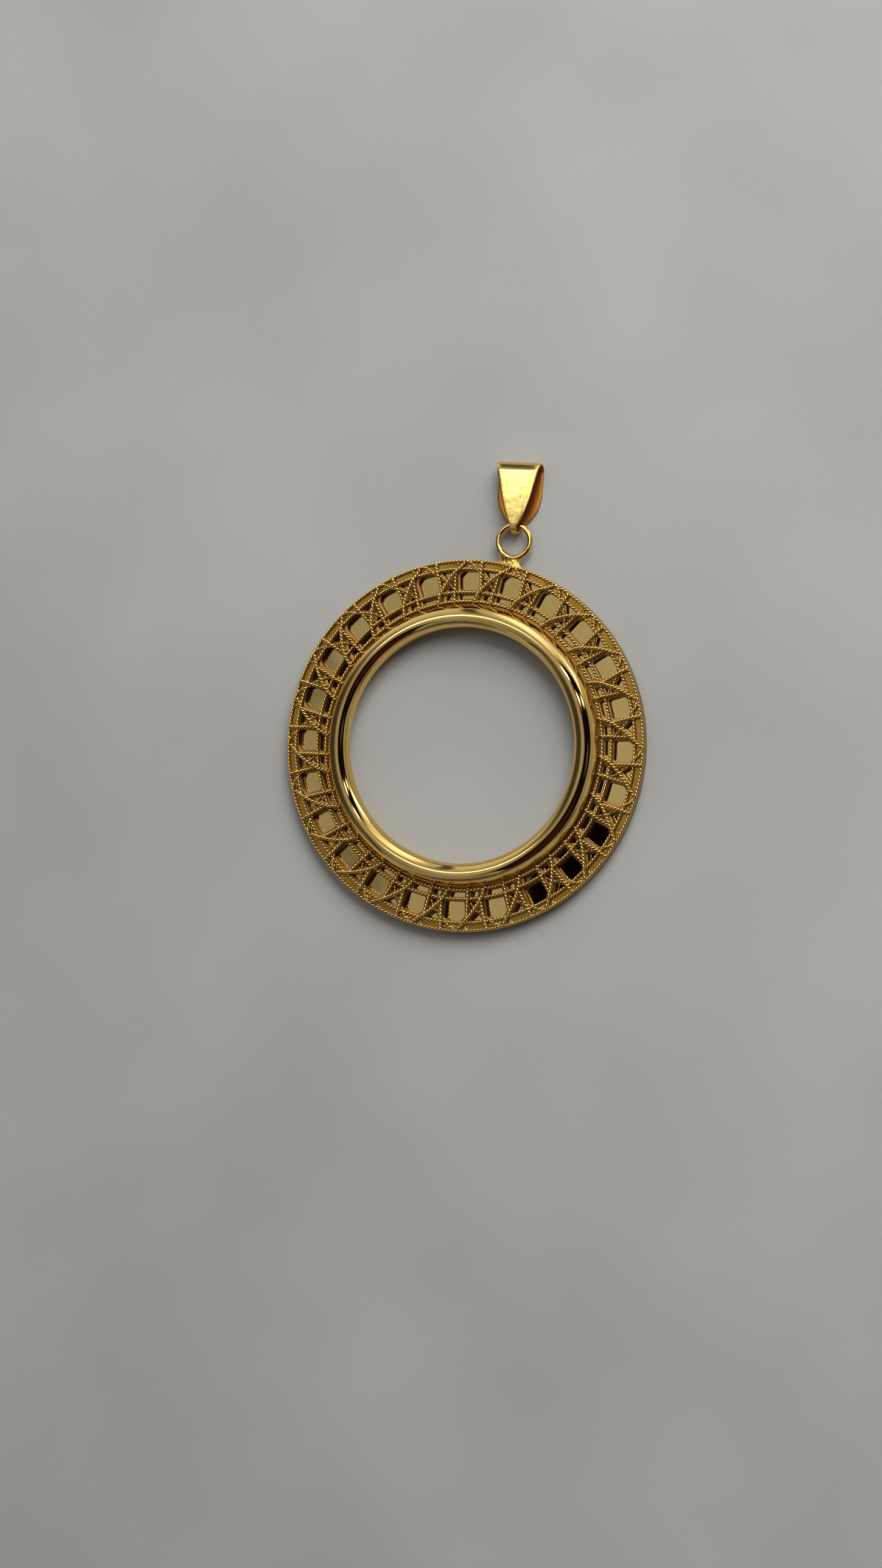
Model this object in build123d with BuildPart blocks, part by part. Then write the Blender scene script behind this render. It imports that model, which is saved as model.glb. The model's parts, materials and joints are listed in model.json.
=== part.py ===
from build123d import *
import os
from math import radians, sin, cos

os.makedirs("parts", exist_ok=True)

# A coin frame pendant in yellow gold, in millimetres. It lies on its back: +Z is the face that is
# seen when worn, +Y points from the middle of the frame to the jump ring, and the origin is the
# middle of the frame on the surface that it lies on.

# Coin seat: a coin is pushed in from the back until it meets a thin lip round the opening
coin_diameter = 37.3
coin_clearance = 0.1
coin_seat_depth = 2.2
lip_cover = 0.39
lip_thickness = 0.3

# Bezel: the wide polished ring round the opening
bezel_width = 3.34
bezel_edge_height = 3.2
bezel_crown_height = 4.3
bezel_crown_from_opening = 1.64
bezel_shoulder = 0.4

# Filigree band between the bare shoulder round the bezel's foot and the outer edge
band_width = 7.0
window_sheet_bottom = 0.5
window_sheet_top = 1.4
channel_floor_height = 1.6
rim_height = 1.75
sheet_joint = 0.3
rim_wall = 0.55
rope_wire = 0.5
cross_wire = 0.55
wire_top = 2.15
slanting_wire_rise = 0.2
wire_seat = 0.1
opening_corner = 0.12
cell_count = 24
first_cell_turn = 7.0

# Back plate: a flat sheet that closes the band from behind
plate_thickness = 0.4
plate_gap = 0.05

# Jump ring, soldered on edge to the rim
ring_outer_diameter = 5.8
ring_wire = 0.85
ring_height = 1.5
solder_gap = 0.75
solder_width_at_rim = 4.2
solder_width_at_ring = 2.6
solder_offset = 0.4
solder_thickness = 0.8

# Bail: one folded strip that hangs in the jump ring, turned about the ring's middle as it lies
bail_height = 9.7
bail_width = 7.1
bail_tip_width = 1.0
bail_strip = 0.45
bail_top_depth = 2.9
bail_ring_clearance = 0.53
bail_turn = 10.0

# Lengths that follow from those above
opening_radius = coin_diameter / 2 - lip_cover
seat_radius = coin_diameter / 2 + coin_clearance
bezel_radius = opening_radius + bezel_width
band_start = bezel_radius + bezel_shoulder
rim_radius = band_start + band_width
pitch = 360 / cell_count

# The four rope circles and the edges of the openings, as shares of the band's width from the
# shoulder to the rim
ROPE_CIRCLES = {"bezel rope": 0.062, "slot rope": 0.265, "window rope": 0.783, "rim rope": 0.962}
SLOT_SHARES = (0.115, 0.215)
WINDOW_SHARES = (0.315, 0.735)
TRIANGLE_SHARES = (0.735, 0.735, 0.570)
SIDE_SHARES = (0.325, 0.325, 0.480)

# Where the openings and wires of one cell start and end, in shares of the cell's turn, clockwise
# from the long radial wire of the cell. A window's outer corner beside the slanting wire is cut off
# at the turn and the band share given.
WINDOW_TURNS = (0.490, 0.960)
WINDOW_CUT_CORNER = (0.590, 0.640)
LONG_SLOT_TURNS = (0.470, 0.850)
SHORT_SLOT_TURNS = (0.120, 0.310)
TRIANGLE_TURNS = (0.070, 0.355, 0.205)
SIDE_TURNS = (0.190, 0.330, 0.350)

# Each wire is a row of (share of the cell's turn, share of the band's width)
LONG_WIRE = ((0.055, 0.300), (-0.015, 0.962))
SHORT_WIRE = ((0.360, 0.030), (0.410, 0.740))
SLANTING_WIRE = (
    (-0.100, 0.030),
    (0.027, 0.280),
    (0.137, 0.400),
    (0.430, 0.730),
    (0.545, 0.815),
)
RETURN_WIRE = (
    (0.545, 0.815),
    (0.640, 0.925),
    (0.735, 0.935),
    (0.855, 0.810),
    (1.040, 0.660),
    (1.160, 0.560),
    (1.345, 0.335),
)

# The bail's half width down each leg, as rows of (share of the height above the ring's wire, share
# of the half width at the top)
BAIL_FRONT_EDGE = ((1.0, 1.0), (0.9, 0.93), (0.43, 0.65), (0.19, 0.435), (0.0, 0.24))
BAIL_BACK_EDGE = ((1.0, 1.0), (0.46, 1.0), (0.28, 0.9), (0.14, 0.68), (0.0, 0.33))


def band_radius(share):
    """The radius at a share of the band's width."""
    return band_start + share * band_width


def place(turn_share, band_share):
    """A point of the band, clockwise from the jump ring as seen from the front."""
    turn = radians(first_cell_turn + pitch * turn_share)
    r = band_radius(band_share)
    return (r * sin(turn), r * cos(turn))


def arc_opening(turns, shares, cut=None):
    """An opening between two turns and two radii; cut is (turn, share) of a corner cut off."""
    arc_end, side_end = cut or (turns[0], shares[1])
    low_middle = place((turns[0] + turns[1]) / 2, shares[0])
    high_middle = place((arc_end + turns[1]) / 2, shares[1])
    ThreePointArc(place(turns[0], shares[0]), low_middle, place(turns[1], shares[0]))
    Line(place(turns[1], shares[0]), place(turns[1], shares[1]))
    ThreePointArc(place(turns[1], shares[1]), high_middle, place(arc_end, shares[1]))
    if cut:
        Line(place(arc_end, shares[1]), place(turns[0], side_end))
    Line(place(turns[0], side_end), place(turns[0], shares[0]))


# Openings of one cell, as blocks a little taller than the sheet
with BuildSketch(Plane.XY.offset(window_sheet_bottom)) as openings:
    for turns, shares, cut in (
        (WINDOW_TURNS, WINDOW_SHARES, WINDOW_CUT_CORNER),
        (LONG_SLOT_TURNS, SLOT_SHARES, None),
        (SHORT_SLOT_TURNS, SLOT_SHARES, None),
    ):
        with BuildLine():
            arc_opening(turns, shares, cut)
        make_face()
    for turns, shares in ((TRIANGLE_TURNS, TRIANGLE_SHARES), (SIDE_TURNS, SIDE_SHARES)):
        with BuildLine():
            Polyline(*[place(turn, share) for turn, share in zip(turns, shares)], close=True)
        make_face()
    fillet(openings.vertices(), opening_corner)
cell_openings = extrude(openings.sketch, wire_top - window_sheet_bottom)

# Wires of one cell, as bars that stand on the sheet
with BuildPart() as cell_wires:
    for wire, rise in (
        (LONG_WIRE, 0),
        (SHORT_WIRE, 0),
        (RETURN_WIRE, 0),
        (SLANTING_WIRE, slanting_wire_rise),
    ):
        with BuildSketch(Plane.XY.offset(window_sheet_top - wire_seat)):
            with BuildLine():
                Polyline(*[place(turn, share) for turn, share in wire])
            trace(line_width=cross_wire)
        extrude(amount=wire_top + rise - window_sheet_top + wire_seat)

# Coin frame: bezel, pierced band, rim, raised wires and jump ring, soldered into one piece
ring_radius = (ring_outer_diameter - ring_wire) / 2
ring_y = rim_radius + solder_gap + ring_outer_diameter / 2
with BuildPart() as coin_frame:
    # Bezel: seat and lip inside, a crowned top that slopes down to the opening
    with BuildSketch(Plane.XZ):
        with BuildLine():
            crown = (opening_radius + bezel_crown_from_opening, bezel_crown_height)
            edge = (bezel_radius, bezel_edge_height)
            lip = (opening_radius, coin_seat_depth + lip_thickness)
            Polyline(
                lip,
                (opening_radius, coin_seat_depth),
                (seat_radius, coin_seat_depth),
                (seat_radius, 0),
                (bezel_radius, 0),
                edge,
            )
            TangentArc(crown, lip, tangent=(-1, 0))
            TangentArc(crown, edge, tangent=(1, 0))
        make_face()
    revolve(axis=Axis.Z)

    # Band: a sheet from the bezel to the rim, with the channel's floor a little lower
    with BuildSketch(Plane.XZ):
        with BuildLine():
            channel_inside = band_radius(ROPE_CIRCLES["window rope"])
            Polyline(
                (bezel_radius - sheet_joint, window_sheet_bottom),
                (rim_radius - rim_wall, window_sheet_bottom),
                (rim_radius - rim_wall, 0),
                (rim_radius, 0),
                (rim_radius, rim_height),
                (rim_radius - rope_wire, rim_height),
                (rim_radius - rope_wire, channel_floor_height),
                (channel_inside, channel_floor_height),
                (channel_inside, window_sheet_top),
                (bezel_radius - sheet_joint, window_sheet_top),
                close=True,
            )
        make_face()
    revolve(axis=Axis.Z)

    # Openings: one cell's, cut through the sheet all the way round
    with PolarLocations(0, cell_count):
        add(cell_openings, mode=Mode.SUBTRACT)

    # Rope circles: raised rings on the sheet
    for share in ROPE_CIRCLES.values():
        with BuildSketch(Plane.XY.offset(window_sheet_top - wire_seat)):
            Circle(band_radius(share) + rope_wire / 2)
            Circle(band_radius(share) - rope_wire / 2, mode=Mode.SUBTRACT)
        extrude(amount=wire_top - window_sheet_top + wire_seat)

    # Wires: one cell's, raised on the sheet all the way round
    with PolarLocations(0, cell_count):
        add(cell_wires.part)

    # Solder saddle and jump ring
    with BuildSketch(Plane.XY.offset(ring_height - solder_thickness / 2)):
        with BuildLine():
            Polyline(
                (solder_offset - solder_width_at_rim / 2, rim_radius - rim_wall / 2),
                (solder_offset + solder_width_at_rim / 2, rim_radius - rim_wall / 2),
                (solder_width_at_ring / 2, rim_radius + solder_gap + ring_wire / 2),
                (-solder_width_at_ring / 2, rim_radius + solder_gap + ring_wire / 2),
                close=True,
            )
        make_face()
    extrude(amount=solder_thickness)
    with BuildSketch(Plane.XZ.offset(-ring_y)):
        with Locations((ring_radius, ring_height)):
            Circle(ring_wire / 2)
    revolve(axis=Axis((0, ring_y, 0), (0, 0, 1)))

coin_frame.part.label = "coin_frame"
export_step(coin_frame.part, "parts/coin_frame.step")

# Back plate: a flat polished sheet between the bezel's wall and the rim's wall
with BuildPart() as back_plate:
    with BuildSketch(Plane.XY.offset(window_sheet_bottom - plate_gap - plate_thickness)):
        Circle(rim_radius - rim_wall - plate_gap)
        Circle(bezel_radius + plate_gap, mode=Mode.SUBTRACT)
    extrude(amount=plate_thickness)

back_plate.part.label = "back_plate"
export_step(back_plate.part, "parts/back_plate.step")

# Bail: a strip folded round the ring's wire below and round the chain above, wide at the top. Its
# planes meet in the ring's middle, and y is measured from there.
bail_front = Plane(origin=(0, ring_y, ring_height)).rotated((0, 0, bail_turn))
bail_side = Plane(origin=bail_front.origin, x_dir=bail_front.y_dir, z_dir=bail_front.x_dir)
fold_y = ring_radius
fold_radius = ring_wire / 2 + bail_ring_clearance
top_y = fold_y + bail_height - bail_top_depth / 2
with BuildPart() as bail:
    with BuildSketch(bail_side):
        with Locations((fold_y, 0)):
            Circle(fold_radius + bail_strip)
        with Locations((top_y, 0)):
            Circle(bail_top_depth / 2)
        make_hull()
        with BuildSketch(bail_side, mode=Mode.SUBTRACT):
            with Locations((fold_y, 0)):
                Circle(fold_radius)
            with Locations((top_y, 0)):
                Circle(bail_top_depth / 2 - bail_strip)
            make_hull()
    extrude(amount=bail_width / 2, both=True)

    # Sides: each leg is cut to its own outline, narrow where it goes through the ring
    low_y = fold_y - fold_radius - 2 * bail_strip
    high_y = fold_y + bail_height + bail_strip
    for edge_rows, side_height in ((BAIL_FRONT_EDGE, 1), (BAIL_BACK_EDGE, -1)):
        for side in (1, -1):
            outline = [(side * bail_width, low_y), (side * bail_width, high_y)]
            outline += [(side * bail_width / 2, high_y)]
            for share, width_share in edge_rows:
                outline += [(side * bail_width / 2 * width_share, fold_y + share * bail_height)]
            outline += [(side * bail_tip_width / 2, fold_y - fold_radius)]
            outline += [(side * bail_tip_width / 2, low_y)]
            with BuildSketch(bail_front):
                with BuildLine():
                    Polyline(*outline, close=True)
                make_face()
            extrude(amount=side_height * bail_top_depth, mode=Mode.SUBTRACT)

bail.part.label = "bail"
export_step(bail.part, "parts/bail.step")
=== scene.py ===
import json

import bmesh
import bpy
import numpy as np
from mathutils import Matrix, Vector
from mathutils.geometry import delaunay_2d_cdt

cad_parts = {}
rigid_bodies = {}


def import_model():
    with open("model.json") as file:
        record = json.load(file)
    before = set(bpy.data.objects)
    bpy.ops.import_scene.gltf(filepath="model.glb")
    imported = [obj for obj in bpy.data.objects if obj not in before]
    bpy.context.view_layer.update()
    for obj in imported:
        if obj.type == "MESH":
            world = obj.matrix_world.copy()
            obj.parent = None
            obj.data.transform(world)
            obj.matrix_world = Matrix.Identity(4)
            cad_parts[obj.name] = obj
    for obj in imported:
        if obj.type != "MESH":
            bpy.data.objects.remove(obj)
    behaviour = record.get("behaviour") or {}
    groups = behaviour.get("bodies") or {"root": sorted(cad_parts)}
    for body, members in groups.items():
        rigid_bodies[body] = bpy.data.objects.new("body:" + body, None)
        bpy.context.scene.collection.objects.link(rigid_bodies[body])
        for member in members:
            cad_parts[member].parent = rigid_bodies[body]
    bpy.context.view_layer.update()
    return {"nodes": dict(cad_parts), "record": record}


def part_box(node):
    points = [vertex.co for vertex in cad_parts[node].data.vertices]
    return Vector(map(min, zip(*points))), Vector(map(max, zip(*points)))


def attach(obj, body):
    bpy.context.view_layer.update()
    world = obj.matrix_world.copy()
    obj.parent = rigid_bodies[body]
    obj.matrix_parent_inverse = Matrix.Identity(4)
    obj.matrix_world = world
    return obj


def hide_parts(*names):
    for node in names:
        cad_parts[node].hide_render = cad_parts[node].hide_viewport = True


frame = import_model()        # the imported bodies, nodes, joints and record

# Sizes are in millimetres, and a mesh is put in with this factor to metres
MM = 0.001

# Sizes read from the frame
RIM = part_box("coin_frame")[1][0] / MM
CROWN_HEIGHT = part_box("coin_frame")[1][2] / MM
HINGE = frame["record"]["behaviour"]["joints"][0]["pos_m"]
HINGE_AXIS = frame["record"]["behaviour"]["joints"][0]["axis"]
BAIL_TURN = np.arctan2(HINGE_AXIS[1], HINGE_AXIS[0])
WIRE_Z = HINGE[2] / MM
SEAT = frame["record"]["mounts"][0]["dims"]["r_mm"]
SEAT_DEPTH = frame["record"]["mounts"][0]["dims"]["length_mm"]

# Bezel: radii from the middle, heights from the floor
OPENING = 18.26
LIP = 0.3
BEZEL = 21.6
CROWN = 19.9
EDGE_HEIGHT = 3.2            # of the outer arc where it would meet the bezel's wall
FLANK_ANGLE = 50             # degrees, where the outer arc gives way to the straight flank
FLANK_FOOT = (21.85, 2.85)
FLANK_BULGE = 0.03
SEAT_MOUTH = 0.55            # by how much the coin seat is wider at the back
SEAT_MOUTH_TOP = 1.6

# Band: its width is measured from the bezel's shoulder to the rim
BAND_START = 22.0
BAND = RIM - BAND_START
SHEET_BOTTOM = 0.5
SHEET_TOP = 1.4
SHEET_END = 0.80             # share of the band
CHANNEL_START = 0.775        # share of the band
CHANNEL_FLOOR = 1.6
RIM_HEIGHT = 1.75
RIM_SETBACK = 0.08           # leaves room for the rim's rope inside the CAD box
RIM_WALL = 0.55
ROPE_BED = 1.74
BED_HALF_WIDTH = 0.16
BEVEL = 0.1                  # of the bezel's and the rim's outer corners
CELLS = 24
PITCH = 2 * np.pi / CELLS
FIRST_CELL = np.radians(7.0)
ROUND_STEPS = 480            # points round the bezel and the rim
BED_STEPS = 360

# Jump ring and bail
RING_WIRE = 0.85
RING_DIAMETER = 5.95
RING = RING_DIAMETER / 2 - RING_WIRE / 2
RING_Y = HINGE[1] / MM - RING * np.cos(BAIL_TURN)
BAIL_HEIGHT = 9.7
BAIL_HALF_WIDTH = 3.55
BAIL_TIP_HALF_WIDTH = 0.3
BAIL_STRIP = 0.45
BAIL_DEPTH = 2.9
BAIL_TOP = BAIL_DEPTH / 2
BAIL_PLAY = 0.53             # between the ring's wire and the strip's fold
BAIL_FOLD = RING_WIRE / 2 + BAIL_PLAY + BAIL_STRIP
BAIL_EDGE_POWER = 8          # of the superellipse that rounds the strip's edges


def linear(hex_colour):
    """The linear colour of an sRGB hex value such as "e2b65a"."""
    value = np.array([int(hex_colour[i:i + 2], 16) for i in (0, 2, 4)]) / 255
    value = np.where(value <= 0.04045, value / 12.92, ((value + 0.055) / 1.055) ** 2.4)
    return (*value, 1.0)


def node(tree, kind, output, settings=None, **inputs):
    """Adds a node of a kind and gives one of its output sockets, or all of them for None. Settings
    are its properties, with a colour ramp's stops as (place, sRGB hex colour). Inputs are values
    or sockets: by name with _ for a space, or by number after a _."""
    new = tree.nodes.new(kind)
    settings = dict(settings or {})
    stops = settings.pop("stops", [])
    for name, value in settings.items():
        setattr(new, name, value)
    for name, value in inputs.items():
        socket = new.inputs[int(name[1:]) if name[0] == "_" else name.replace("_", " ")]
        if isinstance(value, bpy.types.NodeSocket):
            tree.links.new(value, socket)
        else:
            socket.default_value = value
    for _ in stops[2:]:
        new.color_ramp.elements.new(0.5)
    for index, (position, colour) in enumerate(stops):
        element = new.color_ramp.elements[index]
        element.position = position
        element.color = linear(colour)
    return new.outputs if output is None else new.outputs[output]


def new_material(name):
    """An empty material, its tree, and object coordinates in mm."""
    material = bpy.data.materials.new(name)
    material.use_nodes = True
    tree = material.node_tree
    tree.nodes.clear()
    metres = node(tree, "ShaderNodeTexCoord", "Object")
    where = node(
        tree, "ShaderNodeVectorMath", "Vector", {"operation": "SCALE"},
        Vector=metres, Scale=1 / MM,
    )
    return material, tree, where


def dress(tree, colour, roughness, height, relief_mm, metallic=1.0):
    """Ends a material: its surface has a colour and a roughness, and is tilted by a height field.
    The relief is the real height of a field's 1."""
    tilt = node(
        tree, "ShaderNodeBump", "Normal", Height=height, Distance=relief_mm * MM, Strength=1.0
    )
    surface = node(
        tree, "ShaderNodeBsdfPrincipled", "BSDF",
        Metallic=metallic, Base_Color=colour, Roughness=roughness, Normal=tilt,
    )
    node(tree, "ShaderNodeOutputMaterial", None, Surface=surface)


def round_the_middle(tree, where):
    """Polar coordinates about the frame's middle: the turn in radians and the radius in mm."""
    parts = node(tree, "ShaderNodeSeparateXYZ", None, Vector=where)
    turn = node(
        tree, "ShaderNodeMath", "Value", {"operation": "ARCTAN2"}, _0=parts["Y"], _1=parts["X"]
    )
    flat = node(
        tree, "ShaderNodeVectorMath", "Vector", {"operation": "MULTIPLY"}, _0=where, _1=(1, 1, 0)
    )
    radius = node(tree, "ShaderNodeVectorMath", "Value", {"operation": "LENGTH"}, _0=flat)
    return turn, radius


def polished_gold_bezel():
    """Cast 14 karat gold, polished on a wheel round its ring, with hair-fine lines that run round
    it and a few faint smears, so highlights stay sharp along it and spread a little across it."""
    material, tree, where = new_material("polished_gold_bezel")
    turn, radius = round_the_middle(tree, where)
    polar = node(tree, "ShaderNodeCombineXYZ", "Vector", X=turn, Y=radius)
    stretched = node(
        tree, "ShaderNodeVectorMath", "Vector", {"operation": "MULTIPLY"},
        _0=polar, _1=(1.6, 9.0, 1.0),
    )
    polish_lines = node(
        tree, "ShaderNodeTexNoise", "Fac", Vector=stretched, Scale=1.0, Detail=4.0, Roughness=0.7
    )
    smears = node(tree, "ShaderNodeTexNoise", "Fac", Vector=where, Scale=0.16, Detail=3.0)
    colour = node(
        tree, "ShaderNodeValToRGB", "Color", {"stops": [(0.35, "ecc775"), (0.65, "f1cf82")]},
        Fac=smears,
    )
    roughness = node(
        tree, "ShaderNodeMapRange", "Result",
        Value=polish_lines, From_Min=0.3, From_Max=0.75, To_Min=0.03, To_Max=0.08,
    )
    dress(tree, colour, roughness, polish_lines, 0.0035)
    return material


def twisted_gold_wire():
    """Two drawn gold wires twisted into a rope. The colour paints light and shade: bright on the
    outside of each strand as a painted highlight, and dark brown in the groove between them as
    painted shade, over some tarnish there."""
    material, tree, where = new_material("twisted_gold_wire")
    groove = node(tree, "ShaderNodeAttribute", "Fac", {"attribute_name": "groove"})
    grain = node(tree, "ShaderNodeTexNoise", "Fac", Vector=where, Scale=3.0, Detail=3.0)
    # Painted light: the crest colour is a painted highlight, and the groove colour is painted shade
    # between the strands over some tarnish
    colour = node(
        tree, "ShaderNodeValToRGB", "Color",
        {"stops": [(0.0, "f4d888"), (0.4, "d6aa52"), (0.85, "764e18")]}, Fac=groove,
    )
    roughness = node(
        tree, "ShaderNodeMapRange", "Result",
        Value=grain, From_Min=0.3, From_Max=0.7, To_Min=0.12, To_Max=0.22,
    )
    dress(tree, colour, roughness, grain, 0.01)
    return material


def pierced_gold_sheet():
    """A cast gold lattice sheet with fine grain. Its colour darkens from the top down the walls of
    its openings
    and on its underside: painted shade in the recesses."""
    material, tree, where = new_material("pierced_gold_sheet")
    grain = node(tree, "ShaderNodeTexNoise", "Fac", Vector=where, Scale=6.0, Detail=4.0)
    height = node(tree, "ShaderNodeSeparateXYZ", "Z", Vector=where)
    depth = node(
        tree, "ShaderNodeMapRange", "Result",
        Value=height, From_Min=SHEET_TOP, From_Max=SHEET_BOTTOM, To_Min=0.0, To_Max=1.0,
    )
    # Painted shade: the deeper below the sheet's top, the darker and browner, as shade falls down
    # the openings' walls
    colour = node(
        tree, "ShaderNodeValToRGB", "Color",
        {"stops": [(0.0, "9e7a42"), (0.15, "865c2a"), (1.0, "7c4a1c")]}, Fac=depth,
    )
    roughness = node(
        tree, "ShaderNodeMapRange", "Result",
        Value=grain, From_Min=0.3, From_Max=0.7, To_Min=0.26, To_Max=0.42,
    )
    dress(tree, colour, roughness, grain, 0.012)
    return material


def satin_gold_channel():
    """Gold with a satin ground, as a matting punch or fine blasting leaves it: no sharp
    reflection, only a soft sheen with a fine tooth."""
    material, tree, where = new_material("satin_gold_channel")
    tooth = node(
        tree, "ShaderNodeTexNoise", "Fac", Vector=where, Scale=9.0, Detail=3.0, Roughness=0.6
    )
    cloud = node(tree, "ShaderNodeTexNoise", "Fac", Vector=where, Scale=0.5)
    colour = node(
        tree, "ShaderNodeValToRGB", "Color", {"stops": [(0.3, "9e7734"), (0.7, "ab8741")]},
        Fac=cloud,
    )
    roughness = node(
        tree, "ShaderNodeMapRange", "Result",
        Value=tooth, From_Min=0.3, From_Max=0.7, To_Min=0.32, To_Max=0.46,
    )
    dress(tree, colour, roughness, tooth, 0.012)
    return material


def mirror_gold_plate():
    """Rolled gold sheet polished to a mirror, with the slight waves of thin sheet and a few
    cloudy marks, so each window shows its own tone."""
    material, tree, where = new_material("mirror_gold_plate")
    waves = node(tree, "ShaderNodeTexNoise", "Fac", Vector=where, Scale=0.12, Detail=1.0)
    marks = node(
        tree, "ShaderNodeTexNoise", "Fac", Vector=where, Scale=1.1, Detail=5.0, Roughness=0.65
    )
    colour = node(
        tree, "ShaderNodeValToRGB", "Color", {"stops": [(0.3, "e8c878"), (0.7, "eed48c")]},
        Fac=marks,
    )
    roughness = node(
        tree, "ShaderNodeMapRange", "Result",
        Value=marks, From_Min=0.4, From_Max=0.75, To_Min=0.01, To_Max=0.03,
    )
    dress(tree, colour, roughness, waves, 0.015)
    return material


def polished_gold_sheet():
    """Rolled gold sheet, bent and hand polished: bright, with shallow dents that make the
    reflection swim. The inner face, which no buff reaches, is rougher, and its brown colour is
    painted shade inside the fold."""
    material, tree, where = new_material("polished_gold_sheet")
    dents = node(tree, "ShaderNodeTexNoise", "Fac", Vector=where, Scale=0.45)
    fine = node(tree, "ShaderNodeTexNoise", "Fac", Vector=where, Scale=4.0, Detail=3.0)
    inner = node(tree, "ShaderNodeAttribute", "Fac", {"attribute_name": "groove"})
    # Painted shade: the inner face of the loop is coloured darker brown
    colour = node(
        tree, "ShaderNodeValToRGB", "Color",
        {"stops": [(0.0, "f8d67e"), (0.45, "f0c86c"), (0.6, "c07c30")]}, Fac=inner,
    )
    polish = node(
        tree, "ShaderNodeMapRange", "Result",
        Value=fine, From_Min=0.3, From_Max=0.7, To_Min=0.07, To_Max=0.12,
    )
    unpolished = node(
        tree, "ShaderNodeMapRange", "Result",
        Value=inner, From_Min=0.45, From_Max=0.6, To_Min=0.0, To_Max=0.3,
    )
    roughness = node(
        tree, "ShaderNodeMath", "Value", {"operation": "ADD"}, _0=polish, _1=unpolished
    )
    dress(tree, colour, roughness, dents, 0.012)
    return material


def drawn_gold_ring():
    """Drawn gold wire bent to a ring and polished, with faint drawing lines."""
    material, tree, where = new_material("drawn_gold_ring")
    fine = node(tree, "ShaderNodeTexNoise", "Fac", Vector=where, Scale=2.4, Detail=3.0)
    colour = node(
        tree, "ShaderNodeValToRGB", "Color", {"stops": [(0.3, "e4bc6a"), (0.7, "edc87a")]},
        Fac=fine,
    )
    roughness = node(
        tree, "ShaderNodeMapRange", "Result",
        Value=fine, From_Min=0.3, From_Max=0.7, To_Min=0.04, To_Max=0.1,
    )
    dress(tree, colour, roughness, fine, 0.01)
    return material


def gold_solder():
    """Gold solder that flowed and set: paler than the gold and a little lumpy."""
    material, tree, where = new_material("gold_solder")
    lumps = node(tree, "ShaderNodeTexNoise", "Fac", Vector=where, Scale=1.6, Detail=4.0)
    colour = node(
        tree, "ShaderNodeValToRGB", "Color", {"stops": [(0.3, "c8a850"), (0.7, "e0c470")]},
        Fac=lumps,
    )
    roughness = node(
        tree, "ShaderNodeMapRange", "Result",
        Value=lumps, From_Min=0.3, From_Max=0.7, To_Min=0.14, To_Max=0.28,
    )
    dress(tree, colour, roughness, lumps, 0.08)
    return material


def painted_board():
    """The floor: board painted matt in a pale grey, with the roller's faint grain."""
    material, tree, where = new_material("painted_board")
    grain = node(tree, "ShaderNodeTexNoise", "Fac", Vector=where, Scale=0.8, Detail=5.0)
    cloud = node(tree, "ShaderNodeTexNoise", "Fac", Vector=where, Scale=0.02)
    colour = node(
        tree, "ShaderNodeValToRGB", "Color", {"stops": [(0.35, "a7a7a3"), (0.65, "b0b0ab")]},
        Fac=cloud,
    )
    roughness = node(
        tree, "ShaderNodeMapRange", "Result",
        Value=grain, From_Min=0.3, From_Max=0.7, To_Min=0.55, To_Max=0.7,
    )
    dress(tree, colour, roughness, grain, 0.02, metallic=0.0)
    return material


def add_piece(name, points, faces, material, body="frame", slot="frame_gold", groove=None):
    """Makes a smooth piece from an array of points in mm and arrays of faces, with its faces
    turned outwards, and rides it on a body. Without a body it is only put in the scene."""
    mesh = bpy.data.meshes.new(name)
    lists = [face for group in faces for face in np.asarray(group).tolist()]
    mesh.from_pydata((points * MM).tolist(), [], lists)
    if groove is not None:
        mesh.attributes.new("groove", "FLOAT", "POINT").data.foreach_set("value", groove)
    work = bmesh.new()
    work.from_mesh(mesh)
    bmesh.ops.recalc_face_normals(work, faces=work.faces)
    work.to_mesh(mesh)
    work.free()
    mesh.polygons.foreach_set("use_smooth", [True] * len(mesh.polygons))
    mesh.materials.append(material)
    piece = bpy.data.objects.new(name, mesh)
    bpy.context.scene.collection.objects.link(piece)
    if body:
        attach(piece, body)
    return piece


def keep_edges(piece, degrees=35):
    """Edges sharper than this stay crisp while the rest is shaded smooth."""
    piece.data.set_sharp_from_angle(angle=np.radians(degrees))


def quads(rows, columns, close_rows=False, close_columns=False):
    """The four-cornered faces of a grid of points. A closed way joins its last line to its
    first."""
    row = np.arange(rows if close_rows else rows - 1)
    column = np.arange(columns if close_columns else columns - 1)
    row, column = (line.ravel() for line in np.meshgrid(row, column, indexing="ij"))
    next_row = (row + 1) % rows
    next_column = (column + 1) % columns
    corners = [(row, column), (next_row, column), (next_row, next_column), (row, next_column)]
    return np.stack([r * columns + c for r, c in corners], axis=-1)


def arc(centre, radius, start, end, count):
    """Points on a circle in a plane, from one angle to another in degrees."""
    angle = np.radians(np.linspace(start, end, count))
    return np.stack([centre[0] + radius * np.cos(angle), centre[1] + radius * np.sin(angle)], -1)


def turned(profile, steps):
    """A closed outline of (radius, height) carried round the Z axis: x = r cos t, y = r sin t."""
    turn = np.linspace(0, 2 * np.pi, steps, endpoint=False)[:, None]
    radius, height = profile[:, 0], profile[:, 1]
    points = np.stack(
        [radius * np.cos(turn), radius * np.sin(turn), height + 0 * turn], axis=-1
    ).reshape(-1, 3)
    return points, [quads(steps, len(profile), True, True)]


def place(turn_share, band_share, height):
    """A point of the band: clockwise from the first long wire by a share of a cell, outwards
    from the bezel's shoulder by a share of the band's width, at a height in mm."""
    turn = FIRST_CELL + PITCH * np.asarray(turn_share, float)
    radius = BAND_START + BAND * np.asarray(band_share, float)
    return np.stack(
        np.broadcast_arrays(radius * np.sin(turn), radius * np.cos(turn), height), axis=-1
    )


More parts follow.
